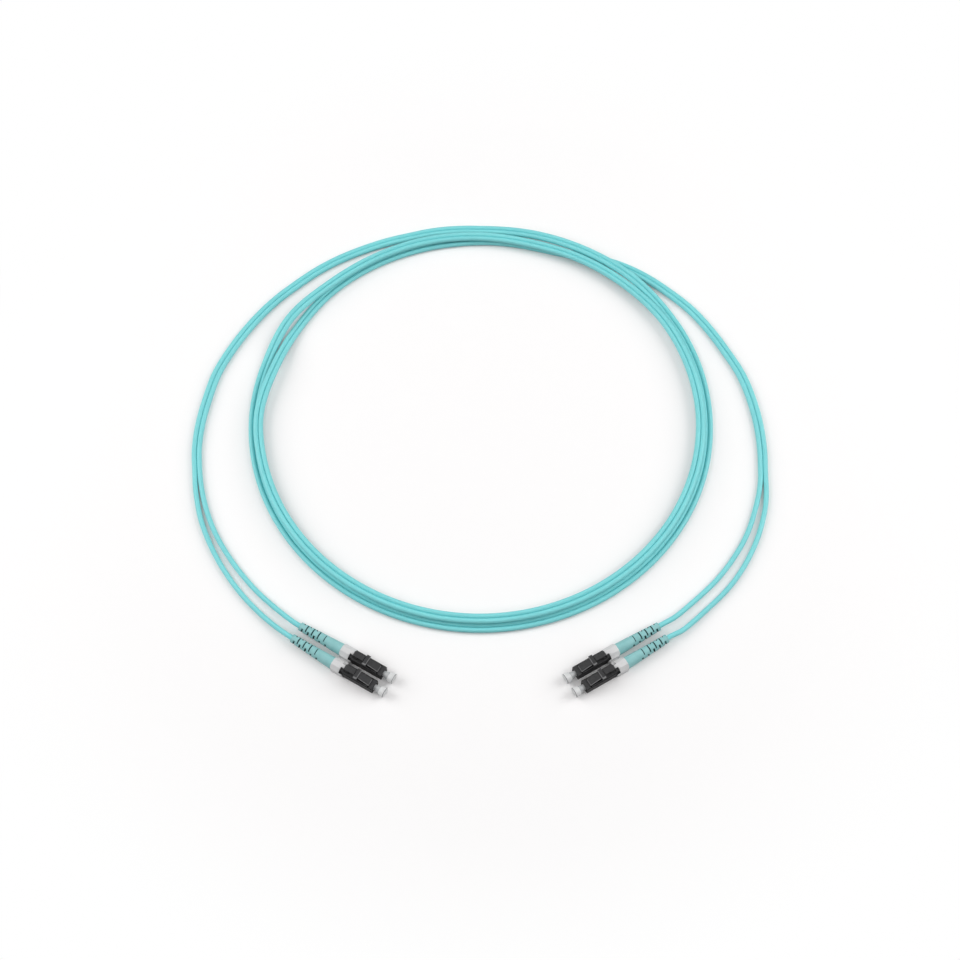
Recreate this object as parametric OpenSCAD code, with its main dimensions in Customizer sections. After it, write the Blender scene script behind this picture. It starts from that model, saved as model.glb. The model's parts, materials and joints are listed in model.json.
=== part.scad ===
// Duplex fibre optic patch cord: a two-strand zip cord laid in a ring, with two latched plugs at each end.
// Millimetres, +Z up. The origin is on the table, midway between the two pairs of plugs.
// A plug has its own frame: +X along its ferrule, out of the plug, X = 0 at the housing's front face,
// Z = 0 on the ferrule's axis.

/* [Cord] */
// Diameter of one strand's jacket
cord_d = 2; // [1.6:0.1:2.3]
// Radius of the ring, to the middle of its first turn
coil_r = 92; // [84:1:100]
// Distance from the origin back to the ring's centre
coil_y = 105.4; // [102:0.2:112]
// How far the second turn lies inside the first
coil_nest = 2.7; // [1:0.1:3]
// Free height between two turns that lie on each other
layer_gap = 0.45; // [0.42:0.01:0.8]

/* [Plug pair] */
// Distance between the two plugs of a pair, axis to axis
plug_pitch = 6.25; // [6.1:0.05:7]
// Angle at which the plugs point inwards, from straight across
plug_angle = 30.5; // [25:0.5:35]
// Distance from the centre plane to the middle of a pair's front faces
plug_spread = 37.3; // [35:0.1:42]

/* [Housing] */
// Length of the black body, nose to clip
housing_l = 13.2; // [12.6:0.1:14.4]
// Width of the black body
housing_w = 4.4; // [4:0.1:4.8]
// Height of the black body
housing_h = 3.8; // [3.7:0.1:4.4]
// Bevel along the body's edges
housing_bevel = 0.25; // [0.1:0.05:0.4]
// Diameter of the open nose, round the ferrule
nose_d = 2.6; // [2.4:0.05:2.8]
// Depth of the open nose
nose_depth = 1.9; // [1.6:0.1:2.1]
// Thickness of the wall that stops the ferrule's flange
stop_wall = 1; // [0.7:0.1:1.2]
// Diameter of the neck inside the clip
neck_d = 3.5; // [3.2:0.05:3.6]

/* [Latch] */
// Distance from the front face back to the latch's root
latch_root = 1.9; // [1.6:0.1:2.2]
// Width of the latch arm
latch_w = 2.8; // [2.2:0.1:3]
// Thickness of the latch arm and of the trigger
arm_t = 0.6; // [0.5:0.05:0.8]
// Distance from the front face back to the latch's shoulders
shoulder_x = 6.7; // [6.2:0.1:7]
// How far the bar of the shoulders stands above the arm
shoulder_step = 0.3; // [0.1:0.05:0.4]
// Length of the shoulders along the plug
shoulder_l = 1.5; // [1.2:0.1:1.8]
// Width across the two shoulders
shoulder_w = 4.2; // [4:0.1:4.8]
// Height of the trigger's top above the plug's axis
trigger_z = 4.2; // [4:0.1:4.8]
// Width of the trigger and of the latch's tail
trigger_w = 2; // [1.6:0.1:2.4]

/* [Ferrule] */
// Diameter of the ferrule
ferrule_d = 1.25; // [1.2:0.01:1.3]
// How far the ferrule stands out of the housing
ferrule_out = 2; // [1.6:0.1:2.2]
// Diameter of the flange
flange_d = 2.3; // [2.1:0.05:2.5]
// Length of the flange
flange_l = 1.6; // [1.4:0.1:1.8]
// Length of the tube behind the flange, which guides the spring
flange_tube_l = 2.2; // [1.5:0.1:2.6]
// Diameter of the fibre's buffer
fibre_d = 0.9; // [0.8:0.05:1]
// Diameter of the glass in the ferrule
glass_d = 0.125; // [0.12:0.005:0.14]

/* [Spring] */
// Wire diameter of the spring
spring_wire = 0.3; // [0.2:0.05:0.35]
// Length of the spring as fitted
spring_l = 5; // [4:0.1:5.5]
// Number of turns of the spring
spring_turns = 6; // [4:1:8]

/* [Rear end] */
// Length of the duplex clip along the plugs
clip_l = 5.3; // [4.8:0.1:6.2]
// Width of one sleeve of the clip
clip_w = 5.2; // [4.8:0.1:5.7]
// Height of the clip
clip_h = 4.8; // [4.5:0.1:5.2]
// Bevel along the clip's upper edges
clip_bevel = 1.5; // [1.1:0.05:1.7]
// Bevel along the clip's lower edges
clip_foot_bevel = 0.7; // [0.4:0.05:1.2]
// Length of the lip that the clip holds under the housing
clip_lip_l = 0.9; // [0.4:0.1:1.2]
// Outer diameter of the crimp sleeve
crimp_d = 2.7; // [2.6:0.05:2.8]
// Length of the crimp sleeve
crimp_l = 4.1; // [3.5:0.1:4.5]
// Wall of the crimp sleeve
crimp_wall = 0.3; // [0.2:0.05:0.35]
// Length of the boot
boot_l = 18.7; // [17:0.1:22]
// Diameter of the boot where it meets the clip
boot_d = 4.7; // [4.4:0.1:5]
// Diameter of the boot's thin end
boot_tip_d = 3.3; // [3:0.05:3.7]
// Distance between two slits on the same side of the boot
slit_pitch = 2.7; // [2.2:0.05:3]
// Width of a slit over the top or underneath
slit_w = 0.5; // [0.3:0.05:0.7]
// Width of a slit in the side
side_slit_w = 0.7; // [0.4:0.05:0.9]

/* [Dust cap] */
// Diameter of the cap's neck, inside the nose
cap_neck_d = 2.3; // [1.9:0.05:2.4]
// Diameter of the neck where it has widened to the head
cap_flare_d = 2.9; // [2.6:0.1:3.4]
// Diameter of the cap's head where it starts
cap_back_d = 3.6; // [3.4:0.1:3.8]
// Diameter of the cap's head at its end
cap_head_d = 4.1; // [3.8:0.1:4.6]
// Length of the neck that shows
cap_neck_l = 2.2; // [1.6:0.1:2.6]
// Length of the head
cap_head_l = 2.3; // [1.8:0.1:3]

/* [Hidden] */
$fn = 48;

// Clearances, on the radius or on one side
run_gap = 0.04;   // pieces that turn or slide in each other
fit_gap = 0.05;   // pieces that are pushed together
loose_gap = 0.15; // a cord in a boot, a ferrule in the housing
tip_gap = 0.2;    // free space in front of a moving end

cord_r = cord_d / 2;
axis_z = max(clip_h, boot_d) / 2;
side_of = [-1, -1, 1, 1];
row_of = [1, -1, -1, 1];
PLUGS = ["left_a", "left_b", "right_b", "right_a"];
PLUG_PIECES = ["dust_cap", "plug_housing", "latch", "trigger", "ferrule", "ferrule_flange",
    "fibre", "ferrule_spring", "backbone", "crimp_sleeve", "boot", "leg"];

// Places along a plug, counted from the front face
stop_x = -nose_depth - stop_wall;
flange_front = stop_x;
flange_back = flange_front - flange_l;
spring_back = flange_back - spring_l;
clip_front = -housing_l;
clip_back = clip_front - clip_l;
neck_back = clip_back + 1;
collar_l = neck_back - clip_back - tip_gap;
sleeve_front = clip_back - 0.1;
sleeve_back = sleeve_front - crimp_l;
jacket_front = sleeve_back - tip_gap;
boot_back = clip_back - boot_l;
float_travel = 0.8;
fibre_back = jacket_front + float_travel + 2 * tip_gap;

bore_d = flange_d + 0.4;
backbone_d = bore_d - 2 * fit_gap;
backbone_bore = fibre_d + 2 * loose_gap;
post_d = crimp_d - 2 * crimp_wall - 2 * fit_gap;
clip_bore = neck_d + 2 * fit_gap;
boot_bore = cord_d / cos(22.5) + 2 * fit_gap;
boot_socket = crimp_d + 2 * fit_gap;
cap_bore = ferrule_d + 2 * run_gap;

// Tab of the housing, in a pocket of the clip
housing_top = housing_h / 2;
tab_l = 1.3;
tab_in = 0.3;
tab_low = housing_top - 0.9;

// Latch and trigger
pin_r = 0.35;
latch_pin = [-latch_root, housing_top];
latch_top = trigger_z - 0.2;
tail_top = trigger_z - arm_t - 0.05;
trigger_back = clip_front + 0.2;
trigger_pin = [trigger_back + pin_r + 0.15, housing_top + 1.2];
// The latch and the trigger come nearer to each other as they go down
latch_swing = 5;
swing_gap = 0.36;
trigger_front = -shoulder_x - shoulder_l - swing_gap;
tail_back = trigger_front - 0.6;

// The pairs stand so that the plugs' box is centred on the origin
rear_reach = plug_pitch / 2 * cos(plug_angle) - boot_back * sin(plug_angle)
    + boot_tip_d / 2 * cos(plug_angle);
cap_reach = cap_neck_l + cap_head_l;
front_reach = plug_pitch / 2 * cos(plug_angle) + cap_reach * sin(plug_angle)
    + cap_head_d / 2 * cos(plug_angle);
pair_y = (front_reach - rear_reach) / 2;

// Places the children at one of the four plugs
module at_plug(i) {
    if (side_of[i] > 0) mirror([1, 0, 0]) at_left(row_of[i]) children();
    else at_left(row_of[i]) children();
}

module at_left(row) {
    translate([-plug_spread, pair_y, axis_z]) rotate([0, 0, -plug_angle])
        translate([0, row * plug_pitch / 2, 0]) children();
}

// The same placing, for a point
function plug_point(i, p) = let (y = p[1] + row_of[i] * plug_pitch / 2) [
    side_of[i] * (plug_spread - p[0] * cos(plug_angle) - y * sin(plug_angle)),
    pair_y - p[0] * sin(plug_angle) + y * cos(plug_angle),
    axis_z + p[2]
];

// A cylinder along +X from x = a to x = b
module rod(d, a, b) {
    translate([a, 0, 0]) rotate([0, 90, 0]) cylinder(d = d, h = b - a);
}

// A pin across the plug
module cross_pin(r, w, at) {
    translate([at[0], w / 2, at[1]]) rotate([90, 0, 0]) cylinder(r = r, h = w);
}

// A block given by its low and high corners
module block(low, high) {
    translate(low) cube(high - low);
}

// Rectangle with bevelled corners, centred
module bevelled(w, h, top, low) {
    x = w / 2;
    y = h / 2;
    polygon([[x - low, -y], [x, -y + low], [x, y - top], [x - top, y],
        [-x + top, y], [-x, y - top], [-x, -y + low], [-x + low, -y]]);
}

// A bar along X with a bevelled section
module bar(w, h, top, low, from, to) {
    translate([from, 0, 0]) rotate([90, 0, 90]) linear_extrude(to - from) bevelled(w, h, top, low);
}

module clip_bar(from, to) {
    bar(clip_w, clip_h, clip_bevel, clip_foot_bevel, from, to);
}

// A shape drawn in the plug's X and Z and given a width across it
module profile(w) {
    translate([0, w / 2, 0]) rotate([90, 0, 0]) linear_extrude(w) children();
}

module plug_housing() {
    base_w = trigger_w + 0.4;
    base_l = 2.2;
    color("#2b2b2d") difference() {
        union() {
            bar(housing_w, housing_h, housing_bevel, housing_bevel, clip_front, 0);
            rod(neck_d, neck_back, clip_front + 1);
            // base that carries the trigger
            block([clip_front, -base_w / 2, 0], [clip_front + base_l, base_w / 2, trigger_pin[1]]);
            // tab that locks into the clip
            intersection() {
                block([clip_front - tab_l, -clip_w / 2, tab_low], [clip_front + 0.5, -tab_in, housing_top]);
                clip_bar(clip_back, 0);
            }
        }
        rod(nose_d, -nose_depth, 1);
        rod(ferrule_d + 2 * loose_gap, stop_x - 1, 1);
        rod(bore_d, neck_back - 1, stop_x);
        cross_pin(pin_r + run_gap, housing_w + 1, latch_pin);
        cross_pin(pin_r + run_gap, trigger_w + 2, trigger_pin);
        // shallow pocket under the latch
        block([-shoulder_x - shoulder_l, -latch_w / 2 - 0.2, housing_top - 0.3],
            [-latch_root - 1, latch_w / 2 + 0.2, housing_top + 1]);
    }
}

module latch() {
    rise = latch_top - arm_t;
    arm_back = -shoulder_x - 0.8;
    color("#3a3a3c") union() {
        cross_pin(pin_r, latch_w, latch_pin);
        profile(latch_w) polygon([
            latch_pin + [0.1, pin_r - 0.05], [-shoulder_x, latch_top - shoulder_step],
            [arm_back, latch_top - shoulder_step], [arm_back, rise - shoulder_step],
            [-shoulder_x, rise - shoulder_step], latch_pin + [-0.3, 0.1]]);
        profile(shoulder_w) polygon([
            [-shoulder_x, rise + 0.1], [-shoulder_x, latch_top], [-shoulder_x - shoulder_l, latch_top],
            [-shoulder_x - shoulder_l, rise - 0.1]]);
        block([tail_back, -trigger_w / 2, tail_top - arm_t], [-shoulder_x - 0.6, trigger_w / 2, tail_top]);
    }
}

module trigger() {
    color("#343436") union() {
        cross_pin(pin_r, trigger_w, trigger_pin);
        profile(trigger_w) polygon([
            [trigger_back, trigger_z - 0.3], [trigger_back + 0.3, trigger_z], [trigger_front, trigger_z],
            [trigger_front, trigger_z - arm_t], trigger_pin + [1.1, trigger_z - arm_t - trigger_pin[1]],
            trigger_pin + [0.3, 0.1], trigger_pin + [-0.3, 0.1]]);
    }
}

module ferrule() {
    tip_bevel = 0.2;
    color("#f4f2ec") rotate([0, 90, 0]) rotate_extrude() polygon([
        [glass_d / 2, flange_back], [ferrule_d / 2, flange_back],
        [ferrule_d / 2, ferrule_out - 2 * tip_bevel], [ferrule_d / 2 - tip_bevel, ferrule_out],
        [glass_d / 2, ferrule_out]]);
}

module ferrule_flange() {
    color("#b9bcc0") difference() {
        union() {
            rod(flange_d, flange_back, flange_front);
            rod(fibre_d + 0.5, flange_back - flange_tube_l, flange_back + 0.1);
        }
        rod(ferrule_d, flange_back, flange_front + 1);
        rod(fibre_d + fit_gap, flange_back - flange_tube_l - 1, flange_back + 0.1);
    }
}

module fibre() {
    color("#7fd6d2") union() {
        rod(fibre_d, fibre_back, flange_back);
        rod(glass_d, flange_back - 0.1, ferrule_out);
    }
}

module ferrule_spring() {
    coil_mean = (flange_d + 0.1 - spring_wire) / 2;
    steps = spring_turns * 8;
    free = spring_l - spring_wire - 0.02;
    front = flange_back - 0.01 - spring_wire / 2;
    path = [for (i = [0 : steps]) let (a = 360 * i / 8)
        [front - free * i / steps, coil_mean * cos(a), coil_mean * sin(a)]];
    color("#c8c8cc") tube(path, round_section(spring_wire / 2, 6), [0, 0, 1], [0, 0, 1], [1, 0, 0]);
}

module backbone() {
    color("#c9a24e") difference() {
        union() {
            rod(backbone_d, neck_back - 0.1, spring_back);
            rod(neck_d, neck_back - collar_l, neck_back);
            rod(post_d, sleeve_back, neck_back);
        }
        rod(backbone_bore, sleeve_back - 1, spring_back + 1);
    }
}

module crimp_sleeve() {
    color("#b5b7ba") difference() {
        rod(crimp_d, sleeve_back, sleeve_front);
        rod(crimp_d - 2 * crimp_wall, sleeve_back - 1, sleeve_front + 1);
    }
}

module boot() {
    reach = boot_d;
    color("#86cfcb") difference() {
        translate([boot_back, 0, 0]) rotate([0, 90, 0]) cylinder(d1 = boot_tip_d, d2 = boot_d, h = boot_l);
        rod(boot_bore, boot_back - 1, clip_back + 1);
        rod(boot_socket, jacket_front - tip_gap, clip_back + 1);
        // slits over the top and under the boot
        for (k = [0 : 3]) translate([boot_back + 3.1 + k * slit_pitch, 0, 0])
            for (low = [slit_floor(k), -slit_floor(k) - reach]) translate([-top_slit(k) / 2, -reach, low])
                cube([top_slit(k), 2 * reach, reach]);
        // slits in the sides, halfway between
        for (k = [0 : 4]) translate([boot_back + 1.6 + k * slit_pitch, 0, 0])
            for (low = [side_floor(k), -side_floor(k) - reach]) translate([-side_slit_w / 2, low, -reach])
                cube([side_slit_w, reach, 2 * reach]);
    }
}

// Radius of the boot at a distance from its thin end
function boot_r(x) = (boot_tip_d + (boot_d - boot_tip_d) * x / boot_l) / 2;
// The last slit over the top is narrower
function top_slit(k) = k < 3 ? slit_w : 0.7 * slit_w;
// How far from the axis a slit is cut: the last ones are shallower
function slit_floor(k) = boot_r(3.1 + k * slit_pitch) * (k < 3 ? 0.62 : 0.78);
function side_floor(k) = boot_r(1.6 + k * slit_pitch) * (k < 3 ? 0.55 : 0.84);

module dust_cap() {
    bore_end = ferrule_out + 1;
    grip = nose_depth - 0.4;
    edge = 0.2;
    straight = 0.4;
    color("#dfe3e4") rotate([0, 90, 0]) rotate_extrude() polygon([
        [cap_bore / 2, -grip], [cap_neck_d / 2, -grip], [cap_neck_d / 2, straight],
        [cap_flare_d / 2, cap_neck_l - straight], [cap_flare_d / 2, cap_neck_l],
        [cap_back_d / 2 - edge, cap_neck_l], [cap_back_d / 2, cap_neck_l + edge],
        [cap_head_d / 2, cap_reach - edge], [cap_head_d / 2 - edge, cap_reach],
        [0, cap_reach], [0, bore_end], [cap_bore / 2, bore_end]]);
}

// One clip holds a pair of plugs: two sleeves and a low bridge
module clip(side) {
    bridge_t = 1.6;
    color("#eef0f1") at_pair(side) difference() {
        union() {
            for (row = [-1, 1]) translate([0, row * plug_pitch / 2, 0]) clip_sleeve();
            block([clip_back + 1, -plug_pitch / 2, -clip_h / 2],
                [clip_front - 0.8, plug_pitch / 2, -clip_h / 2 + bridge_t]);
        }
        for (row = [-1, 1]) translate([0, row * plug_pitch / 2, 0]) {
            rod(clip_bore, clip_back - 1, clip_front + 1);
            // pocket for the housing's tab
            block([clip_front - tab_l - fit_gap, -clip_w, tab_low - fit_gap],
                [clip_front + 1, -tab_in + fit_gap, clip_h]);
        }
    }
}

module at_pair(side) {
    if (side > 0) mirror([1, 0, 0]) at_left(0) children();
    else at_left(0) children();
}

module clip_sleeve() {
    back_bevel = 0.5;
    x0 = clip_back;
    x1 = clip_front;
    y = clip_w / 2;
    intersection() {
        clip_bar(x0, x1);
        translate([0, 0, -clip_h]) linear_extrude(2 * clip_h) polygon([
            [x0, -y + back_bevel], [x0 + back_bevel, -y], [x1, -y],
            [x1, y], [x0 + back_bevel, y], [x0, y - back_bevel]]);
    }
    // lip under the housing
    intersection() {
        clip_bar(x1 - 0.5, x1 + clip_lip_l);
        block([x1 - 1, -y, -clip_h / 2], [x1 + clip_lip_l + 1, y, -housing_top - fit_gap]);
    }
}

// Cord routes, millimetres, chosen along the way the cord lies. Each leg runs from its boot to the split.
left_a_route = [[-73.5, 17.6, 1.9], [-79, 22.3, 1.4], [-84.5, 27.4, 1.1], [-89.8, 33.2, 1], [-94.3, 38.8, 1],
    [-98.4, 44.7, 1], [-102, 50.7, 1], [-105.2, 57.2, 1], [-107.8, 64.1, 1], [-109.9, 71.6, 1]];
left_b_route = [[-75.4, 12.1, 1.9], [-81.2, 16.9, 1.4], [-86.6, 22.1, 1.1], [-91.6, 27.6, 1],
    [-96.2, 33.6, 1], [-100.3, 39.8, 1], [-103.9, 46.2, 1], [-107, 52.8, 1], [-109.6, 59.6, 1],
    [-111.4, 66.6, 1], [-112.7, 73.2, 1]];
right_b_route = [[76.2, 11.6, 1.9], [82.1, 16.5, 1.4], [87.6, 21.7, 1.1], [93.1, 27, 1], [98.1, 32.8, 1],
    [102.3, 38.9, 1], [105.8, 45.2, 1], [108.8, 51.8, 1], [111.1, 58.6, 1], [112.8, 65.4, 1], [113.6, 72, 1]];
right_a_route = [[73.7, 17, 1.9], [79.5, 21.9, 1.4], [85.1, 27, 1.1], [90.6, 32.4, 1], [95.4, 38.1, 1],
    [99.6, 44.1, 1], [103.1, 49.9, 1], [106.1, 56.4, 1], [108.4, 63.1, 1], [110.5, 70.4, 1]];
leg_routes = [left_a_route, left_b_route, right_b_route, right_a_route];
left_split = [-112.5, 80, 1];
right_split = [112.8, 78, 1];
left_heading = 97;
right_heading = 88;
left_route = [[-113.5, 90, 1], [-113, 102, 1], [-111, 114, 1], [-108, 126, 1], [-103, 137, 1],
    [-95.5, 149.5, 1], [-86, 161.5, 1], [-77, 170, 1], [-68.5, 177, 1], [-60, 182.5, 1],
    [-50, 187.5, 1], [-38.7, 191.9, 1]];
right_route = [[13.6, 191.3, 1], [24, 189.1, 1], [34.2, 186.4, 1], [45.2, 183.7, 1], [57.5, 180.3, 1],
    [68.9, 174.3, 1], [79.9, 165.6, 1], [88.9, 156.7, 1], [94.9, 148.6, 1], [102, 136.5, 1],
    [107.6, 125, 1], [111, 113, 1], [112.9, 101, 1], [113.4, 90, 1]];

// Sections, as points across and up
function round_section(r, n) = [for (k = [0 : n - 1]) let (a = 360 * (k + 0.5) / n)
    r / cos(180 / n) * [cos(a), sin(a)]];
zip_section = [for (p = round_section(cord_r, 8)) p + [sign(p[0]) * cord_r, 0]];
coil_section = [[2 * cord_r, 0], [1.5 * cord_r, cord_r], [-1.5 * cord_r, cord_r],
    [-2 * cord_r, 0], [-1.5 * cord_r, -cord_r], [1.5 * cord_r, -cord_r]];

function unit(v) = v / norm(v);
function heading(a) = [cos(a), sin(a), 0];

// Directions along a path, with the two end ones given
function directions(path, first, last) = [for (i = [0 : len(path) - 1])
    i == 0 ? first : i == len(path) - 1 ? last : unit(path[i + 1] - path[i - 1])];

// Ring of section points across a path
function ring(p, along, section, up) = let (across = unit(cross(along, up)), rise = cross(across, along))
    [for (s = section) p + across * s[0] + rise * s[1]];

// Closed tube with a ring at each point of the path
module tube(path, section, first, last, up) {
    n = len(section);
    count = len(path);
    along = directions(path, first, last);
    points = [for (i = [0 : count - 1]) each ring(path[i], along[i], section, up)];
    sides = [for (i = [0 : count - 2], k = [0 : n - 1]) let (a = i * n + k, b = i * n + (k + 1) % n)
        each [[a, b, a + n], [b, b + n, a + n]]];
    start = [for (k = [1 : n - 2]) [0, k + 1, k]];
    end_ring = (count - 1) * n;
    end = [for (k = [1 : n - 2]) [end_ring, end_ring + k, end_ring + k + 1]];
    polyhedron(points, concat(start, sides, end), convexity = 10);
}

// Coil: t counts degrees clockwise from its start
start_angle = 105;
full_turns = 2;
rings_per_turn = 24;
layer = cord_d + layer_gap;
beside = 2 * cord_d + 0.5;
// Stations along it: t, change of radius against the ring's, and level, 0 on the table and 1 on what lies below.
// The first turn climbs over the end that leaves, the second rides on it, and they change places at 300 degrees.
stations = [[0, 1.7, 0], [15, 0.6, 0], [30, -0.6, 1], [60, 0.4, 1], [75, 1, 0], [105, 0.5, 0], [180, 0, 0],
    [285, -0.5, 0], [300, -0.6, 0], [315, -0.6, 1], [330, -2.9, 1], [345, -3.6, 1], [360, -3.9, 1],
    [390, -0.9 - beside, 1], [420, 0.4 - beside, 1], [435, -3.1, 1], [465, -coil_nest, 1],
    [645, -coil_nest - 0.1, 1], [660, -0.6 - beside, 1], [675, -0.6 - beside, 0], [690, -0.2 - beside, 0],
    [720, -0.8 - beside, 0], [750, -0.6 - beside, 0]];
function at_stations(t, k) = let (i = max([for (j = [0 : len(stations) - 2]) if (t >= stations[j][0]) j]),
    a = stations[i], b = stations[i + 1], x = (t - a[0]) / (b[0] - a[0]))
    a[k] + (b[k] - a[k]) * x * x * (3 - 2 * x);
function coil_point(t) = let (r = coil_r + at_stations(t, 1), angle = start_angle - t)
    [r * cos(angle), coil_y + r * sin(angle), cord_r + layer * at_stations(t, 2)];
function coil_heading(t) = heading(start_angle - t - 90);

coil_rings = full_turns * rings_per_turn + 1;
ring_step = 360 / rings_per_turn;
coil_last = coil_rings * ring_step;
straight_end = 2 * cord_d;
coil_start = coil_point(0) - straight_end * coil_heading(0);
coil_end = coil_point(coil_last) + straight_end * coil_heading(coil_last);
coil_path = concat([coil_start], [for (i = [0 : coil_rings]) coil_point(i * ring_step)], [coil_end]);

// Least gap of the coil to itself, on points all round it, at each ring and on the faces between two rings
function outline(points, parts) = [for (i = [0 : len(points) - 1], t = [0 : parts - 1])
    points[i] + (points[(i + 1) % len(points)] - points[i]) * t / parts];
function gap_between(a, b) = min([for (p = a, q = b) norm(p - q)]);
function coil_gap(steps = 4) = let (
    along = directions(coil_path, coil_heading(0), coil_heading(coil_last)),
    rings = [for (i = [0 : len(coil_path) - 1]) ring(coil_path[i], along[i], coil_section, [0, 0, 1])],
    cuts = [for (i = [0 : len(rings) - 2], t = [0 : steps - 1])
        outline(rings[i] + (rings[i + 1] - rings[i]) * t / steps, 4)],
    turn = rings_per_turn * steps)
    min([for (i = [0 : len(cuts) - 1], k = [1, 2], j = [i + k * turn - steps : i + k * turn + steps])
        if (j < len(cuts)) gap_between(cuts[i], cuts[j])]);

module coil() {
    echo(str("least gap of the coil to itself: ", coil_gap(), " mm"));
    color("#5cc4c2") tube(coil_path, coil_section, coil_heading(0), coil_heading(coil_last), [0, 0, 1]);
}

module lead(side) {
    path = side < 0 ? concat([left_split], left_route, [coil_start]) : concat([coil_end], right_route, [right_split]);
    first = side < 0 ? heading(left_heading) : coil_heading(coil_last);
    last = side < 0 ? coil_heading(0) : heading(right_heading - 180);
    color("#5cc4c2") tube(path, zip_section, first, last, [0, 0, 1]);
}

// The inner strand goes to the far plug of its pair
module leg(i) {
    split = side_of[i] < 0 ? left_split : right_split;
    turn = side_of[i] < 0 ? left_heading : right_heading;
    strand = split + row_of[i] * -side_of[i] * cord_r * heading(turn - 90);
    start = plug_point(i, [jacket_front, 0, 0]);
    exit = plug_point(i, [boot_back - 1, 0, 0]);
    path = concat([start, exit], leg_routes[i], [strand]);
    color("#5cc4c2") tube(path, round_section(cord_r, 8), unit(exit - start), heading(turn), [0, 0, 1]);
}

module piece(i, name) {
    if (name == "leg") leg(i);
    else at_plug(i) {
        if (name == "dust_cap") dust_cap();
        if (name == "plug_housing") plug_housing();
        if (name == "latch") latch();
        if (name == "trigger") trigger();
        if (name == "ferrule") ferrule();
        if (name == "ferrule_flange") ferrule_flange();
        if (name == "fibre") fibre();
        if (name == "ferrule_spring") ferrule_spring();
        if (name == "backbone") backbone();
        if (name == "crimp_sleeve") crimp_sleeve();
        if (name == "boot") boot();
    }
}

for (i = [0 : 3], name = PLUG_PIECES) {
    piece(i, name);
}
clip(-1);  // left_clip
clip(1);  // right_clip
lead(-1);  // left_lead
lead(1);  // right_lead
coil();
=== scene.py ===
import json
import math

import bmesh
import bpy
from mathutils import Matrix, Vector

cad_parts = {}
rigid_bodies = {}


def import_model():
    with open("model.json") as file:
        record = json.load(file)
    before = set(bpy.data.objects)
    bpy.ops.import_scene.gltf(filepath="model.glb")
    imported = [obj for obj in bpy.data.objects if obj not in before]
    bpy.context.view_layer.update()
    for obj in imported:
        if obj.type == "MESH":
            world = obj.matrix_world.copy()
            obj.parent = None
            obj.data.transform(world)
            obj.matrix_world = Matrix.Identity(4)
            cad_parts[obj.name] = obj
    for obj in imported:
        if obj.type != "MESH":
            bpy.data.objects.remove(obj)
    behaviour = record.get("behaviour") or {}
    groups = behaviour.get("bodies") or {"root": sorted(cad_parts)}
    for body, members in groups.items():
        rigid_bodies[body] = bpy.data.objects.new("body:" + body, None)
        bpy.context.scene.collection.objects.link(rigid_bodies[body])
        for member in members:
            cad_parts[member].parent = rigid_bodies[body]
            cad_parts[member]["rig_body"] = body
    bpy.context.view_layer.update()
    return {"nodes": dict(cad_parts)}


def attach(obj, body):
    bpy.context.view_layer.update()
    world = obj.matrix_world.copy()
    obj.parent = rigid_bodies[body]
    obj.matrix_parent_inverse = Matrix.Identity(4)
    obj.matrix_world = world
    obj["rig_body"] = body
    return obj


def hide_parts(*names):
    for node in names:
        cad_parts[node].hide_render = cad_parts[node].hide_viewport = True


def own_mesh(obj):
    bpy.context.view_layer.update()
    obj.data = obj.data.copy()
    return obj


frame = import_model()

# Sizes and places are in millimetres, and MM turns them into the frame's metres. A name that ends in _M is in
# metres already.
MM = 0.001
UP = Vector((0, 0, 1))
collection = bpy.context.scene.collection

# ---------------------------------------------------------------- camera

LENS, SENSOR_W, CLIP_START_M = 60, 36, 0.01
CAMERA_PLACE, CAMERA_TARGET = (0.16, -214.6, 566.4), (0.16, 77, 0)


def turn_to(o, target):
    """Turns a camera or a lamp towards a point."""
    o.rotation_euler = (target - o.location).to_track_quat("-Z", "Y").to_euler()


def make_camera():
    data = bpy.data.cameras.new("camera")
    data.sensor_width = SENSOR_W
    data.lens = LENS
    data.clip_start = CLIP_START_M
    cam = bpy.data.objects.new("camera", data)
    collection.objects.link(cam)
    cam.location = Vector(CAMERA_PLACE) * MM
    turn_to(cam, Vector(CAMERA_TARGET) * MM)
    bpy.context.scene.camera = cam


make_camera()

# ---------------------------------------------------------------- materials

def srgb(r, g, b):
    """The linear colour of an sRGB one, whose values run from 0 to 255."""
    def linear(c):
        c /= 255
        return c / 12.92 if c <= 0.04045 else ((c + 0.055) / 1.055) ** 2.4
    return (linear(r), linear(g), linear(b), 1)


WHITE, PALE_BLUE = (1, 1, 1, 1), (0.93, 0.95, 0.96, 1)
# The shade inside the boots' slits, on the strands and on the slits' walls
SLIT_SHADE = srgb(26, 74, 76)
# How high the relief of a surface stands
RELIEF_COARSE_M, RELIEF_M, RELIEF_FINE_M = 0.00003, 0.00002, 0.00001
# How fine the grain of turned and of drawn metal is
TURNED, DRAWN = 7000, 3000


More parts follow.
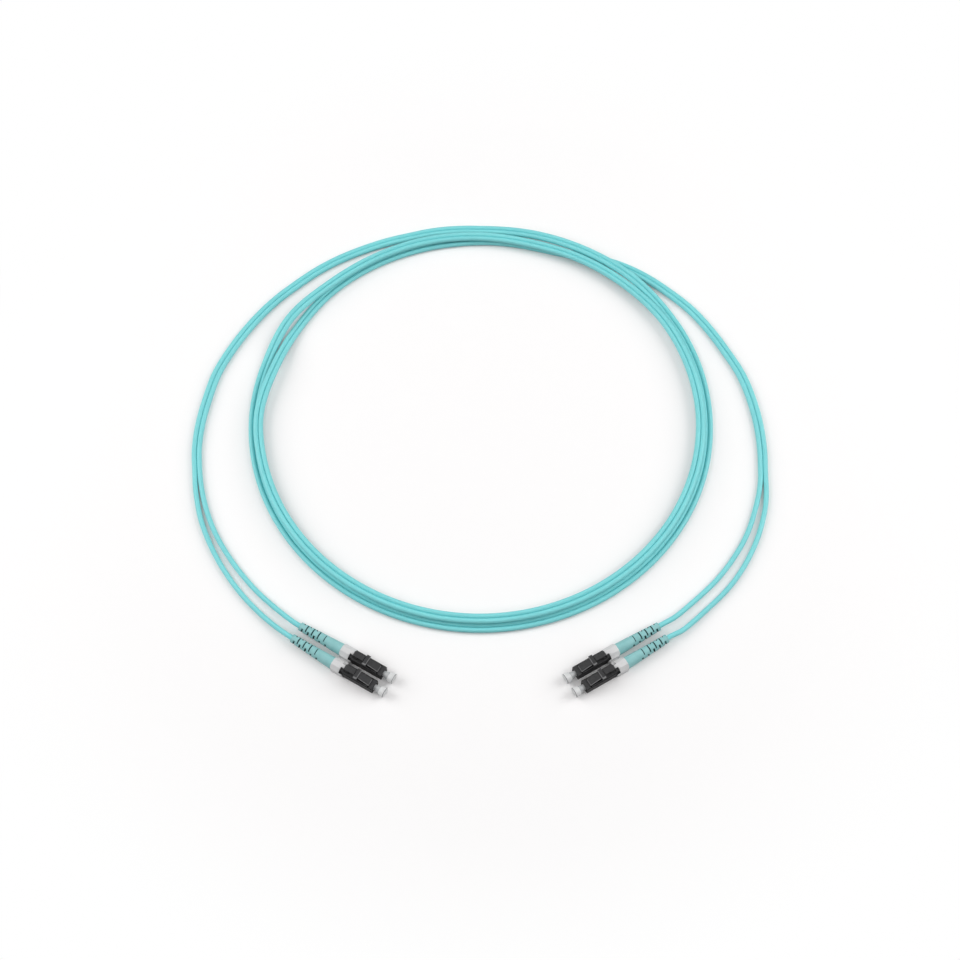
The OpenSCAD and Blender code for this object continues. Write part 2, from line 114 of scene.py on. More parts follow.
class Look:
    """A Principled material whose colour, roughness and relief can be driven by procedural textures."""

    def __init__(self, name, rough=0.45, coords="Object", **sockets):
        self.mat = bpy.data.materials.new(name)
        self.mat.use_nodes = True
        self.tree = self.mat.node_tree
        self.shader = self.tree.nodes["Principled BSDF"]
        self.shader.inputs["Roughness"].default_value = rough
        for key, value in sockets.items():
            self.shader.inputs[key.replace("_", " ")].default_value = value
        self.coords = self.add("ShaderNodeTexCoord").outputs[coords]

    def add(self, kind, **values):
        """A new node. A value sets the node's property of that name, or else its input."""
        n = self.tree.nodes.new(kind)
        for key, value in values.items():
            if hasattr(n, key):
                setattr(n, key, value)
            else:
                n.inputs[key].default_value = value
        return n

    def link(self, a, b):
        self.tree.links.new(a, b)

    def feed(self, value, socket):
        """Gives a socket another node's output, or a constant."""
        if hasattr(value, "links"):
            self.link(value, socket)
        else:
            socket.default_value = value

    def noise(self, scale, detail=3, rough=0.5, stretch=(1, 1, 1)):
        m = self.add("ShaderNodeMapping", Scale=stretch)
        self.link(self.coords, m.inputs["Vector"])
        n = self.add("ShaderNodeTexNoise", Scale=scale, Detail=detail, Roughness=rough)
        self.link(m.outputs[0], n.inputs["Vector"])
        return n.outputs["Fac"]

    def ramp(self, fac, low, high, start=0.3, end=0.7):
        r = self.add("ShaderNodeValToRGB")
        stops = r.color_ramp.elements
        stops[0].position, stops[1].position = start, end
        stops[0].color, stops[1].color = low, high
        self.link(fac, r.inputs[0])
        return r.outputs[0]

    def mask(self, name):
        """A value painted on the faces in mesh code: 0 where a mesh doesn't have it."""
        return self.add("ShaderNodeAttribute", attribute_name=name).outputs["Fac"]

    def mix(self, fac, a, b, kind="MIX"):
        m = self.add("ShaderNodeMix", data_type="RGBA", blend_type=kind)
        # a Mix node's colours are its inputs 6 and 7 and its output 2
        for value, i in ((fac, 0), (a, 6), (b, 7)):
            self.feed(value, m.inputs[i])
        return m.outputs[2]

    def maths(self, operation, a, b):
        m = self.add("ShaderNodeMath", operation=operation)
        self.link(a, m.inputs[0])
        self.link(b, m.inputs[1])
        return m.outputs[0]

    def colour(self, value):
        self.link(value, self.shader.inputs["Base Color"])

    def roughness(self, fac, low, high):
        r = self.add("ShaderNodeMapRange")
        r.inputs["To Min"].default_value = low
        r.inputs["To Max"].default_value = high
        self.link(fac, r.inputs[0])
        self.link(r.outputs[0], self.shader.inputs["Roughness"])

    def bump(self, height, distance, strength):
        b = self.add("ShaderNodeBump", Distance=distance, Strength=strength)
        self.link(height, b.inputs["Height"])
        self.link(b.outputs[0], self.shader.inputs["Normal"])


def jacket_look():
    """Extruded jacket: its streaks run along the cord, and its colour shifts a little from place to place.
    Inside the boots it is darkened by painted shade, where the slits show it.
    """
    look = Look("jacket", coords="UV", Specular_IOR_Level=0.42, Coat_Weight=0.06, Coat_Roughness=0.3)
    streak = look.noise(6, 4, 0.55, stretch=(0.6, 8, 1))
    base = look.ramp(streak, srgb(125, 218, 221), srgb(141, 228, 231))
    tint = look.ramp(look.noise(0.35, 2), PALE_BLUE, WHITE, 0.35, 0.65)
    tinted = look.mix(1.0, base, tint, "MULTIPLY")
    look.colour(look.mix(look.mask("painted_slit_shade"), tinted, SLIT_SHADE))
    look.roughness(look.noise(14, 3, 0.6, stretch=(1, 3, 1)), 0.36, 0.5)
    look.bump(look.noise(55, 4, 0.6, stretch=(0.5, 4, 1)), RELIEF_COARSE_M, 0.35)
    return look.mat


# The web between the strands is the jacket's plastic, coloured darker as painted shade for the groove between
# the strands
def web_look():
    look = Look("zip_web", 0.5, "UV")
    look.colour(look.ramp(look.noise(9), srgb(66, 148, 153), srgb(76, 160, 165)))
    look.bump(look.noise(60), RELIEF_M, 0.4)
    return look.mat


def boot_look():
    look = Look("boot_rubber", Specular_IOR_Level=0.35)
    base = look.ramp(look.noise(320), srgb(137, 193, 194), srgb(150, 203, 204))
    # the slits' walls are darkened with painted shade
    look.colour(look.mix(look.mask("painted_slit_shade"), base, SLIT_SHADE))
    look.roughness(look.noise(900), 0.52, 0.66)
    look.bump(look.noise(5200, 3, 0.6), RELIEF_M, 0.4)
    return look.mat


def clip_look():
    look = Look("clip_plastic", Specular_IOR_Level=0.45)
    look.colour(look.ramp(look.noise(260), srgb(211, 211, 212), srgb(221, 221, 221)))
    look.roughness(look.noise(1100), 0.34, 0.5)
    look.bump(look.noise(4200, 3, 0.6), RELIEF_M, 0.35)
    return look.mat


def grey(value):
    """A grey with a trace of blue."""
    return srgb(value, value, value + 1)


def black_look(name, side, top):
    """Moulded black plastic: its level faces are painted paler than the rest, a painted highlight of the
    light from above.
    """
    look = Look(name, Specular_IOR_Level=0.16)
    grain = look.noise(900, 4, 0.6)
    low = look.ramp(grain, grey(side), grey(side + 5))
    high = look.ramp(grain, grey(top), grey(top + 9))
    look.colour(look.mix(look.mask("level"), low, high))
    look.roughness(look.noise(1500), 0.4, 0.56)
    look.bump(look.noise(6500, 4, 0.65), RELIEF_COARSE_M, 0.5)
    return look.mat


def cap_look():
    """Pale cap with a darker neck, and a ring of painted shade at its front end."""
    look = Look("cap_plastic", Specular_IOR_Level=0.45, IOR=1.47, Transmission_Weight=0.12)
    base = look.ramp(look.noise(420), srgb(226, 227, 227), srgb(236, 237, 237))
    thin = look.mix(look.mask("neck"), base, srgb(196, 198, 199))
    look.colour(look.mix(look.mask("painted_rim_shade"), thin, srgb(140, 142, 143)))
    look.roughness(look.noise(900), 0.26, 0.4)
    look.bump(look.noise(2600, 2), RELIEF_FINE_M, 0.3)
    return look.mat


def metal_look(name, low, high, rough, grain=TURNED):
    look = Look(name, Metallic=1.0)
    look.colour(look.ramp(look.noise(600, 4), low, high))
    look.roughness(look.noise(2500), rough, rough + 0.14)
    look.bump(look.noise(grain), RELIEF_FINE_M, 0.4)
    return look.mat


def ceramic_look():
    look = Look("ceramic", Specular_IOR_Level=0.6, Subsurface_Weight=0.1, Subsurface_Scale=0.0004)
    look.colour(look.ramp(look.noise(900, 2), srgb(238, 236, 228), srgb(246, 244, 238)))
    look.roughness(look.noise(2000, 2), 0.1, 0.18)
    return look.mat


def buffer_look():
    look = Look("buffer", 0.4)
    look.colour(look.ramp(look.noise(800, 2), srgb(122, 208, 204), srgb(132, 216, 212)))
    look.bump(look.noise(3000, 2), RELIEF_FINE_M, 0.3)
    return look.mat


MATS = {
    "jacket": jacket_look(),
    "boot_rubber": boot_look(),
    "clip_plastic": clip_look(),
    # the paler second tone of black_plastic and black_arm is a painted highlight on their level faces
    "black_plastic": black_look("black_plastic", 24, 56),
    "black_arm": black_look("black_arm", 24, 58),
    # painted highlight on the rounded edges of the black parts
    "black_edge_highlight": black_look("black_edge_highlight", 62, 84),
    # painted highlight lines along the latch
    "black_highlight_line": black_look("black_highlight_line", 116, 126),
    "cap_plastic": cap_look(),
    "ceramic": ceramic_look(),
    "steel": metal_look("steel", srgb(160, 162, 166), srgb(178, 180, 184), 0.28),
    "spring_steel": metal_look("spring_steel", srgb(184, 186, 190), srgb(200, 202, 206), 0.16, DRAWN),
    "brass": metal_look("brass", srgb(190, 158, 92), srgb(208, 176, 108), 0.24),
    "buffer": buffer_look(),
}
WEB = web_look()

# ---------------------------------------------------------------- plugs' places and sizes

# The middle of a pair's noses: how far to the side, forwards and up it lies. Then the pitch of the pair's
# plugs, and how far they point inwards, in degrees
SPREAD, PAIR_Y, AXIS_Z, PITCH, ANGLE = 37.3, -8.126, 2.4, 6.25, 30.5
# Along a plug's axis: 0 is the nose of its housing, and less is further back
CLIP_BACK, BOOT_L = -18.5, 18.7
JACKET_FRONT, BOOT_BACK = -22.9, CLIP_BACK - BOOT_L
BOOT_D, BOOT_TIP_D = 4.7, 3.3
# The boot's slits: from its thin end to the first one over the top and to the first one in the sides, how
# many at most, and how far apart
SLIT_STARTS, SLITS, SLIT_PITCH = (3.1, 1.6), 5, 2.7
# Faces this near the middle of a slit and this far under the boot's skin are the slit's walls, which get a
# painted shade
SLIT_REACH, SLIT_DEPTH = 0.45, 0.06
# How high the housing stands above its axis, and where the cap's neck and the cap end
HOUSING_TOP, CAP_NECK_L, CAP_END = 1.9, 2.2, 4.5
# The ring of painted shade at the cap's front end, and what keeps a face's middle clear of a limit between
# two tones
RIM_FROM, RIM_TO, CLEAR = CAP_END - 0.18, CAP_END - 0.02, 0.05
# The front end and length of the ferrule's spring, and how far the ferrule floats back
SPRING_FRONT, SPRING_L, FLOAT_TRAVEL = -4.5, 5, 0.8
# The latch: its arm's front end, that end's top, its highest place and its width
ARM_FRONT, ARM_FRONT_Z, ARM_TOP, ARM_W = -1.8, 2.2, 3.7, 2.8
# The bar of the latch's shoulders: its front, length, width and top
SHOULDER, SHOULDER_L, SHOULDER_W, LATCH_TOP = -6.7, 1.5, 4.2, 4.0
# The painted highlight lines: their width, the width of the one at the bar's near end, the gap before the
# bar, and how far they stand out of and reach into the latch
LINE_W, BAR_LINE_W, LINE_GAP, LINE_LIFT, LINE_SUNK = 0.22, 0.6, 0.5, 0.02, 0.12
# The legs pull each pair's near boot towards its neighbour, which bends its thin end this far. The power
# shapes the bend.
BOOT_BEND, BEND_POWER = {"left_b": 0.7, "right_b": 0.55}, 1.3

PLUGS = ["left_a", "left_b", "right_b", "right_a"]


def plug_axes(name):
    """A plug's side, how far it stands from its pair's middle, and the cosine and sine of its turn."""
    side = -1 if name.startswith("left") else 1
    row = 1 if name.endswith("_a") else -1
    return side, PITCH / 2 * row, math.cos(math.radians(ANGLE)), math.sin(math.radians(ANGLE))


def plug_point(name, x, y=0.0, z=0.0):
    """The place of a point along, across and above a plug's axis."""
    side, row, c, s = plug_axes(name)
    y += row
    return Vector((side * (SPREAD - x * c - y * s), PAIR_Y - x * s + y * c, AXIS_Z + z))


def in_plug(name, p):
    """Where a point of the frame, in metres, lies along, across and above a plug's axis."""
    side, row, c, s = plug_axes(name)
    x, y = side * p.x / MM - SPREAD, p.y / MM - PAIR_Y
    return -x * c - y * s, -x * s + y * c - row, p.z / MM - AXIS_Z


def forward_of(plug):
    return (plug_point(plug, 1) - plug_point(plug, 0)).normalized()


def across_of(plug):
    return plug_point(plug, 0, 1) - plug_point(plug, 0, 0)


def bend(name, x):
    """How far the boot's bend moves its axis at this place along the plug."""
    return BOOT_BEND.get(name, 0) * max(0, (CLIP_BACK - x) / BOOT_L) ** BEND_POWER

# ---------------------------------------------------------------- cord routes, as in the part's source

# A strand's radius, the steps to the layer above and to the turn beside, and how far the second turn lies
# inside the first
R = 1.0
LAYER, BESIDE, NEST = 2 * R + 0.45, 4 * R + 0.5, 2.7
START_ANGLE, COIL_R, COIL_Y = 105, 92.0, 105.4
# The coil has a point at each of these steps, in degrees, and a short straight piece at both ends
COIL_RINGS, RING_STEP, STRAIGHT_END = 49, 15, 4
# Degrees round the coil, what is added to its radius there, and the layer that the cord lies on
STATIONS = [(0, 1.7, 0), (15, 0.6, 0), (30, -0.6, 1), (60, 0.4, 1), (75, 1, 0), (105, 0.5, 0), (180, 0, 0),
            (285, -0.5, 0), (300, -0.6, 0), (315, -0.6, 1), (330, -2.9, 1), (345, -3.6, 1), (360, -3.9, 1),
            (390, -0.9 - BESIDE, 1), (420, 0.4 - BESIDE, 1), (435, -3.1, 1), (465, -NEST, 1),
            (645, -NEST - 0.1, 1), (660, -0.6 - BESIDE, 1), (675, -0.6 - BESIDE, 0), (690, -0.2 - BESIDE, 0),
            (720, -0.8 - BESIDE, 0), (750, -0.6 - BESIDE, 0)]
LEG_ROUTES = {
    "left_a": [(-73.5, 17.6, 1.9), (-79, 22.3, 1.4), (-84.5, 27.4, 1.1), (-89.8, 33.2, 1), (-94.3, 38.8, 1),
               (-98.4, 44.7, 1), (-102, 50.7, 1), (-105.2, 57.2, 1), (-107.8, 64.1, 1), (-109.9, 71.6, 1)],
    "left_b": [(-75.4, 12.1, 1.9), (-81.2, 16.9, 1.4), (-86.6, 22.1, 1.1), (-91.6, 27.6, 1), (-96.2, 33.6, 1),
               (-100.3, 39.8, 1), (-103.9, 46.2, 1), (-107, 52.8, 1), (-109.6, 59.6, 1), (-111.4, 66.6, 1),
               (-112.7, 73.2, 1)],
    "right_b": [(76.2, 11.6, 1.9), (82.1, 16.5, 1.4), (87.6, 21.7, 1.1), (93.1, 27, 1), (98.1, 32.8, 1),
                (102.3, 38.9, 1), (105.8, 45.2, 1), (108.8, 51.8, 1), (111.1, 58.6, 1), (112.8, 65.4, 1),
                (113.6, 72, 1)],
    "right_a": [(73.7, 17, 1.9), (79.5, 21.9, 1.4), (85.1, 27, 1.1), (90.6, 32.4, 1), (95.4, 38.1, 1),
                (99.6, 44.1, 1), (103.1, 49.9, 1), (106.1, 56.4, 1), (108.4, 63.1, 1), (110.5, 70.4, 1)],
}
LEFT_SPLIT, RIGHT_SPLIT = (-112.5, 80, 1), (112.8, 78, 1)
LEFT_ROUTE = [(-113.5, 90, 1), (-113, 102, 1), (-111, 114, 1), (-108, 126, 1), (-103, 137, 1),
              (-95.5, 149.5, 1), (-86, 161.5, 1), (-77, 170, 1), (-68.5, 177, 1), (-60, 182.5, 1),
              (-50, 187.5, 1), (-38.7, 191.9, 1)]
RIGHT_ROUTE = [(13.6, 191.3, 1), (24, 189.1, 1), (34.2, 186.4, 1), (45.2, 183.7, 1), (57.5, 180.3, 1),
               (68.9, 174.3, 1), (79.9, 165.6, 1), (88.9, 156.7, 1), (94.9, 148.6, 1), (102, 136.5, 1),
               (107.6, 125, 1), (111, 113, 1), (112.9, 101, 1), (113.4, 90, 1)]
# Where the strands pass inside the boots, from the jacket's front end to just behind the boot
IN_BOOT = [JACKET_FRONT, -27, -32, BOOT_BACK, BOOT_BACK - 1.5]
PAIR_STEP, STRAND_STEP = 3, 2


def at_stations(t, column):
    """The value of a column of STATIONS at t degrees, eased from one row to the next."""
    i = max(j for j in range(len(STATIONS) - 1) if t >= STATIONS[j][0])
    a, b = STATIONS[i], STATIONS[i + 1]
    x = (t - a[0]) / (b[0] - a[0])
    return a[column] + (b[column] - a[column]) * x * x * (3 - 2 * x)


def coil_point(t):
    r = COIL_R + at_stations(t, 1)
    a = math.radians(START_ANGLE - t)
    return Vector((r * math.cos(a), COIL_Y + r * math.sin(a), R + LAYER * at_stations(t, 2)))


def coil_heading(t):
    a = math.radians(START_ANGLE - t - 90)
    return Vector((math.cos(a), math.sin(a), 0))


def smooth(points, step):
    """Points at about one step along a smooth curve through the given ones."""
    p = [Vector(q) for q in points]
    gaps = [(b - a).length for a, b in zip(p, p[1:])]
    slopes = [(b - a) / g for a, b, g in zip(p, p[1:], gaps)]
    tangents = [slopes[0]]
    for i in range(1, len(p) - 1):
        a, b = gaps[i - 1], gaps[i]
        tangents.append((slopes[i - 1] * b + slopes[i] * a) / (a + b))
    tangents.append(slopes[-1])
    out = []
    for i, g in enumerate(gaps):
        n = max(1, round(g / step))
        for k in range(n):
            t = k / n
            out.append((2 * t**3 - 3 * t**2 + 1) * p[i] + (t**3 - 2 * t**2 + t) * g * tangents[i]
                       + (3 * t**2 - 2 * t**3) * p[i + 1] + (t**3 - t**2) * g * tangents[i + 1])
    out.append(p[-1])
    return out


def along(points, i):
    """The direction of a line at one of its points."""
    return (points[min(i + 1, len(points) - 1)] - points[max(i - 1, 0)]).normalized()


COIL_LAST = COIL_RINGS * RING_STEP
COIL_START = coil_point(0) - STRAIGHT_END * coil_heading(0)
COIL_END = coil_point(COIL_LAST) + STRAIGHT_END * coil_heading(COIL_LAST)
COIL = [coil_point(i * RING_STEP) for i in range(COIL_RINGS + 1)]
# The middle between the two strands, where they run joined
PAIR = smooth([LEFT_SPLIT, *LEFT_ROUTE, COIL_START, *COIL, COIL_END, *RIGHT_ROUTE, RIGHT_SPLIT], PAIR_STEP)


def on_axis(name, x):
    """The middle of a plug's boot or strand at this place along it."""
    return plug_point(name, x, bend(name, x))


def strand_line(left, right, offset):
    """The middle of a strand, from inside its left boot to inside its right one."""
    joined = [p + UP.cross(along(PAIR, i)).normalized() * offset for i, p in enumerate(PAIR)]
    start = [on_axis(left, x) for x in IN_BOOT] + LEG_ROUTES[left]
    end = [on_axis(right, x) for x in IN_BOOT] + LEG_ROUTES[right]
    line = smooth(start + joined + end[::-1], STRAND_STEP)
    # no lower than on the table
    return [Vector((p.x, p.y, max(p.z, R))) for p in line]


def length_of(points):
    """A line's length in metres."""
    return sum((b - a).length for a, b in zip(points, points[1:])) * MM

# ---------------------------------------------------------------- mesh helpers

# Degrees past which an edge is sharp, and below which two faces are one
SHARP, FLAT = 28, 1
WELD_M = 1e-7
# Length of cord to one unit of its texture
UV_LENGTH = 10


def link_mesh(name, bm, material, smooth_shading=True):
    mesh = bpy.data.meshes.new(name)
    bm.to_mesh(mesh)
    bm.free()
    for poly in mesh.polygons:
        poly.use_smooth = smooth_shading
    mesh.materials.append(material)
    o = bpy.data.objects.new(name, mesh)
    collection.objects.link(o)
    return o


def sweep(name, line, section, material, hidden=0.0):
    """A closed tube with the given section, upright along the line. hidden is the length at each end that
    lies in a boot, where its faces are marked for the painted shade that the boot's slits show on it."""
    bm = bmesh.new()
    uv = bm.loops.layers.uv.new("UVMap")
    n = len(section)
    rows, marks, run = [], [], 0.0
    for i, p in enumerate(line):
        t = along(line, i)
        across = t.cross(UP).normalized()
        rise = across.cross(t)
        run += (p - line[i - 1]).length if i else 0
        marks.append(run)
        rows.append([bm.verts.new((p + across * x + rise * y) * MM) for x, y in section])
    for i in range(len(rows) - 1):
        for j in range(n):
            q = (j + 1) % n
            f = bm.faces.new((rows[i][j], rows[i][q], rows[i + 1][q], rows[i + 1][j]))
            corners = ((marks[i], j), (marks[i], j + 1), (marks[i + 1], j + 1), (marks[i + 1], j))
            for loop, (a, b) in zip(f.loops, corners):
                loop[uv].uv = (a / UV_LENGTH, b / n)
    bm.faces.new(rows[0][::-1])
    bm.faces.new(rows[-1])
    bmesh.ops.recalc_face_normals(bm, faces=bm.faces)
    made = link_mesh(name, bm, material)
    if hidden:
        painted_slit_shade = made.data.attributes.new("painted_slit_shade", "FLOAT", "FACE")
        for i in range(len(line) - 1):
            if marks[i + 1] < hidden or run - marks[i] < hidden:
                for j in range(n):
                    painted_slit_shade.data[i * n + j].value = 1
    return made


def round_edges(o, width, edge):
    """Rounds an object's sharp edges. edge is the material of the rounded ones, painted paler as a highlight,
    where they have one.
    """
    m = o.modifiers.new("edges", "BEVEL")
    m.width = width * MM
    m.segments = 2
    m.limit_method = "ANGLE"
    m.angle_limit = math.radians(SHARP)
    m.harden_normals = True
    m.use_clamp_overlap = True
    if edge:
        o.data.materials.append(edge)
        m.material = 1


def dressed(node, slot, bevel, material=None, edge=None, masks=(), shape=None):
    """A copy of a CAD node in the node's place, with its sharp edges rounded where bevel isn't 0. masks are
    pairs of a name and a test on a face, and shape moves a point."""
    mesh = frame["nodes"][node].data.copy()
    mesh.materials.clear()
    mesh.materials.append(material or MATS[slot])
    o = bpy.data.objects.new(node + "_skin", mesh)
    collection.objects.link(o)
    bm = bmesh.new()
    bm.from_mesh(mesh)
    bmesh.ops.remove_doubles(bm, verts=bm.verts, dist=WELD_M)
    bmesh.ops.dissolve_limit(bm, angle_limit=math.radians(FLAT), verts=bm.verts, edges=bm.edges)
    bm.normal_update()
    for name, test in masks:
        layer = bm.faces.layers.float.new(name)
        for f in bm.faces:
            f[layer] = 1.0 if test(f) else 0.0
    if shape:
        for v in bm.verts:
            v.co = shape(v.co)
    bm.to_mesh(mesh)
    bm.free()
    for poly in mesh.polygons:
        poly.use_smooth = True
    mesh.set_sharp_from_angle(angle=math.radians(SHARP))
    if bevel:
        round_edges(o, bevel, edge)
    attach(o, frame["nodes"][node]["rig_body"])
    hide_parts(node)
    return o

# ---------------------------------------------------------------- cord

# The web between the two strands, and how many sides a strand has
WEB_W, WEB_H = 1.1, 0.32
STRAND_SIDES = 20


def ring_section(r, n):
    return [(r * math.cos(2 * math.pi * k / n), r * math.sin(2 * math.pi * k / n)) for k in range(n)]


def box_section(w, h):
    return [(w / 2, -h / 2), (w / 2, h / 2), (-w / 2, h / 2), (-w / 2, -h / 2)]


web = sweep("zip_web", PAIR, box_section(WEB_W, WEB_H), WEB)
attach(web, "cord")

for inner in (True, False):
    name = "strand_inner" if inner else "strand_outer"
    left, right = ("left_a", "right_a") if inner else ("left_b", "right_b")
    line = strand_line(left, right, -R if inner else R)
    strand = sweep(name, line, ring_section(R, STRAND_SIDES), MATS["jacket"], JACKET_FRONT - BOOT_BACK)
    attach(strand, "cord")
    legs = [left + "_leg", right + "_leg"]
    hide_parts(*legs, *(["coil", "left_lead", "right_lead"] if inner else []))
    on_axis(left, BOOT_BACK) * MM
    print(name, "length", round(length_of(line), 4))

# ---------------------------------------------------------------- plugs

# Widths of the rounded edges
BODY_BEVEL, ARM_BEVEL, CAP_BEVEL, CLIP_BEVEL = 0.07, 0.06, 0.04, 0.1
# How nearly a face has to look up, forwards or away from the boot's axis, as the cosine of the angle between
LOOKS_UP, LOOKS_FORWARD, LOOKS_OUT = 0.6, 0.9, 0.97
# The arms' front faces are smaller than this, in square metres
FRONT_FACE_M2 = 2e-6
# The pieces inside a plug that keep the CAD model's mesh
INNER_PIECES = {"ferrule": "ceramic", "ferrule_flange": "steel", "fibre": "buffer", "backbone": "brass",
                "crimp_sleeve": "steel"}


def level(face):
    return face.normal.z > LOOKS_UP


def body_masks(plug):
    """The housing's level faces, which get the painted highlight, apart from the pocket under the latch,
    whose floor keeps the darker tone as painted shade.
    """
    def takes_painted_highlight(face):
        return level(face) and in_plug(plug, face.calc_center_median())[2] > HOUSING_TOP - 2 * CLEAR
    return [("level", takes_painted_highlight)]


def arm_masks(plug):
    """The arms' faces that look up take the paler tone of the painted highlight, and so do their small front
    faces, where it also paints out the shade in the gap between the trigger and the latch.
    """
    forward = forward_of(plug)

    def takes_painted_highlight(face):
        return level(face) or face.normal.dot(forward) > LOOKS_FORWARD and face.calc_area() < FRONT_FACE_M2
    return [("level", takes_painted_highlight)]


def cap_masks(plug):
    def neck(face):
        return in_plug(plug, face.calc_center_median())[0] < CAP_NECK_L - CLEAR

    # the chamfer at the front end, which gets a painted shade
    def painted_rim_shade(face):
        return RIM_FROM < in_plug(plug, face.calc_center_median())[0] < RIM_TO
    return [("neck", neck), ("painted_rim_shade", painted_rim_shade)]


def boot_masks(plug):
    """The walls of the boot's slits, which get a painted shade."""
    def in_slit(x):
        return any(abs(x - BOOT_BACK - start - k * SLIT_PITCH) < SLIT_REACH
                   for start in SLIT_STARTS for k in range(SLITS))

    def painted_slit_shade(face):
        x, y, z = in_plug(plug, face.calc_center_median())
        outer = (BOOT_TIP_D + (BOOT_D - BOOT_TIP_D) * (x - BOOT_BACK) / BOOT_L) / 2
        return in_slit(x) and math.hypot(y, z) < outer - SLIT_DEPTH
    return [("painted_slit_shade", painted_slit_shade)]


def boot_shape(plug):
    across = across_of(plug)
    return lambda p: p + across * bend(plug, in_plug(plug, p)[0]) * MM


def round_boot(boot, plug):
    """Gives the boot's outer faces the normals of a true cone, so that the slits leave no streaks on it."""
    mesh, forward, across = boot.data, forward_of(plug), across_of(plug)
    slope = (BOOT_D - BOOT_TIP_D) / 2 / BOOT_L

    def outward(p):
        x, y, z = in_plug(plug, p)
        return (across * (y - bend(plug, x)) + UP * z).normalized() - forward * slope

    normals = []
    for face in mesh.polygons:
        outer = face.normal.dot(outward(face.center)) > LOOKS_OUT
        normals += [outward(mesh.vertices[i].co) if outer else face.normal.copy() for i in face.vertices]
    mesh.normals_split_custom_set([n.normalized() for n in normals])


def arm_top(x):
    """The height of the latch arm's upper side at this place along it."""
    return ARM_FRONT_Z + (ARM_FRONT - x) * (ARM_TOP - ARM_FRONT_Z) / (ARM_FRONT - SHOULDER)


def add_strip(bm, plug, x0, x1, y0, y1, z0, z1):
    """Adds a thin strip to a mesh, from x0 to x1 along the plug, whose upper side goes from z0 to z1."""
    corners = [plug_point(plug, x, y, z + d) * MM for d in (LINE_LIFT, -LINE_SUNK)
               for x, y, z in ((x0, y0, z0), (x1, y0, z1), (x1, y1, z1), (x0, y1, z0))]
    v = [bm.verts.new(c) for c in corners]
    for quad in ((0, 1, 2, 3), (7, 6, 5, 4), (0, 4, 5, 1), (1, 5, 6, 2), (2, 6, 7, 3), (3, 7, 4, 0)):
        bm.faces.new([v[i] for i in quad])


def arm_highlight_lines(plug):
    """Painted highlights: fine bright strips along the latch's arm's front and near edges, and along the bar
    of its shoulders, where the edges catch the light.
    """
    bm = bmesh.new()
    arm, bar = ARM_W / 2, SHOULDER_W / 2
    front, back = ARM_FRONT - LINE_W, SHOULDER + LINE_GAP
    bar_front, bar_back = SHOULDER - LINE_W, SHOULDER - SHOULDER_L
    add_strip(bm, plug, front, ARM_FRONT, -arm, arm, arm_top(front), ARM_FRONT_Z)
    add_strip(bm, plug, back, front, -arm, LINE_W - arm, arm_top(back), arm_top(front))
    add_strip(bm, plug, bar_front, SHOULDER, -bar, bar, LATCH_TOP, LATCH_TOP)
    add_strip(bm, plug, bar_back, bar_front, -bar, BAR_LINE_W - bar, LATCH_TOP, LATCH_TOP)
    bmesh.ops.recalc_face_normals(bm, faces=bm.faces)
    made = link_mesh(plug + "_latch_highlight_lines", bm, MATS["black_highlight_line"], False)
    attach(made, plug + "_latch_arm")


def dress_body(plug):
    dressed(plug + "_plug_housing", "black_plastic", BODY_BEVEL, edge=MATS["black_edge_highlight"],
            masks=body_masks(plug))
    for arm in ("latch", "trigger"):
        dressed(f"{plug}_{arm}", "black_plastic", ARM_BEVEL, MATS["black_arm"], MATS["black_edge_highlight"],
                arm_masks(plug))
    arm_highlight_lines(plug)


def dress_boot(plug):
    boot = dressed(plug + "_boot", "boot_rubber", 0, masks=boot_masks(plug), shape=boot_shape(plug))
    round_boot(boot, plug)


def dress_inside(plug):
    for piece, slot in INNER_PIECES.items():
        materials = frame["nodes"][f"{plug}_{piece}"].data.materials
        materials.clear()
        materials.append(MATS[slot])


def dress_spring(plug):
    spring = dressed(plug + "_ferrule_spring", "spring_steel", 0)
    forward_of(plug)
    plug_point(plug, SPRING_FRONT) * MM
    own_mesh(spring)


for plug in PLUGS:
    dress_body(plug)
    dress_boot(plug)
    dress_inside(plug)
    dressed(plug + "_dust_cap", "cap_plastic", CAP_BEVEL, masks=cap_masks(plug))
    dress_spring(plug)
for side in ("left", "right"):
    dressed(side + "_clip", "clip_plastic", CLIP_BEVEL)

# ---------------------------------------------------------------- stage and light

# Half the floor's width, and its middle, a hair under the part
FLOOR_HALF_M, FLOOR_PLACE_M = 2.5, (0, 0.09, -0.00002)
# The floor's colour as the camera and reflections see it, and the darker one that lights the object
FLOOR_SEEN, FLOOR_BOUNCE = (1, 0.988, 0.988, 1), (0.52, 0.52, 0.52, 1)
# Between these distances from its middle the floor goes over to plain white, where it is seen
FLOOR_FADE_M = (0.13, 0.22)
# The strength of the world where it lights the object
SKY = 0.2
# Name, place and size in metres, and power in watts
LAMPS = [("top", (0, 0.45, 0.85), 0.7, 0.97), ("front", (0, -0.45, 0.8), 0.6, 1.43),
         ("left", (-0.9, 0.25, 0.65), 0.9, 7.7), ("right", (0.9, 0.25, 0.65), 0.9, 7.7)]
LAMP_TARGET_M = (0, 0.09, 0)


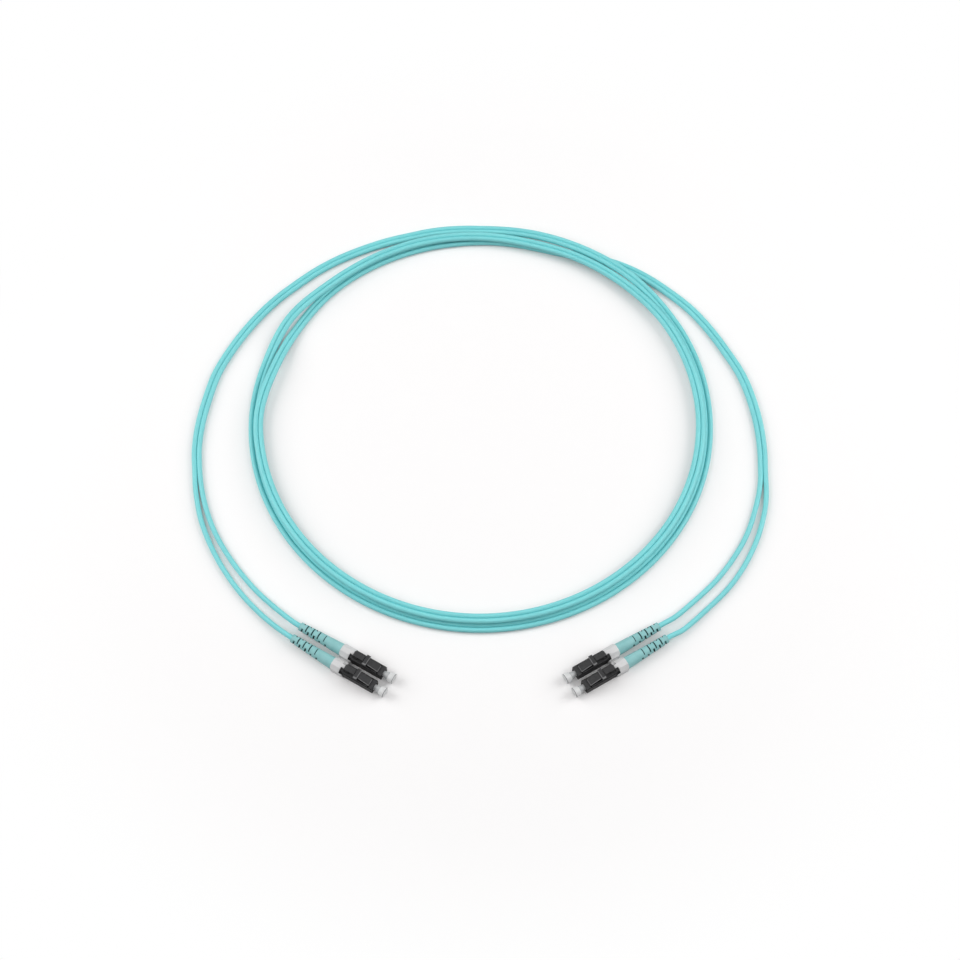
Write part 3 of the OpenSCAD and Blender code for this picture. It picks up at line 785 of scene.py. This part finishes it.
def floor_look():
    look = Look("floor", 0.9, Specular_IOR_Level=0.1)
    path = look.add("ShaderNodeLightPath")
    seen = path.outputs["Is Camera Ray"]
    for ray in ("Is Glossy Ray", "Is Transmission Ray"):
        seen = look.maths("MAXIMUM", seen, path.outputs[ray])
    look.colour(look.mix(seen, FLOOR_BOUNCE, FLOOR_SEEN))
    # far from the object, where the lamps don't reach, the floor is seen as white
    distance = look.add("ShaderNodeVectorMath", operation="LENGTH")
    look.link(look.coords, distance.inputs[0])
    far = look.add("ShaderNodeMapRange", interpolation_type="SMOOTHSTEP")
    far.inputs["From Min"].default_value, far.inputs["From Max"].default_value = FLOOR_FADE_M
    look.link(distance.outputs["Value"], far.inputs[0])
    blend = look.add("ShaderNodeMixShader")
    look.link(look.maths("MULTIPLY", far.outputs[0], seen), blend.inputs[0])
    look.link(look.shader.outputs[0], blend.inputs[1])
    look.link(look.add("ShaderNodeEmission").outputs[0], blend.inputs[2])
    look.link(blend.outputs[0], look.tree.nodes["Material Output"].inputs["Surface"])
    return look.mat


def make_stage():
    bm = bmesh.new()
    bmesh.ops.create_grid(bm, x_segments=2, y_segments=2, size=FLOOR_HALF_M)
    floor = link_mesh("floor", bm, floor_look(), False)
    floor.location = FLOOR_PLACE_M


def make_world():
    """The camera sees the world as white, and it lights the object with less."""
    world = bpy.data.worlds.new("world")
    bpy.context.scene.world = world
    world.use_nodes = True
    tree = world.node_tree
    back = tree.nodes["Background"]
    back.inputs["Color"].default_value = WHITE
    path = tree.nodes.new("ShaderNodeLightPath")
    pick = tree.nodes.new("ShaderNodeMapRange")
    pick.inputs["To Min"].default_value = SKY
    pick.inputs["To Max"].default_value = 1.0
    tree.links.new(path.outputs["Is Camera Ray"], pick.inputs[0])
    tree.links.new(pick.outputs[0], back.inputs["Strength"])


def make_lamps():
    for name, place, size, power in LAMPS:
        lamp = bpy.data.lights.new(name, "AREA")
        lamp.size = size
        lamp.energy = power
        o = bpy.data.objects.new(name, lamp)
        o.location = place
        turn_to(o, Vector(LAMP_TARGET_M))
        collection.objects.link(o)


make_stage()
make_world()
make_lamps()
bpy.context.scene.view_settings.view_transform = "Standard"
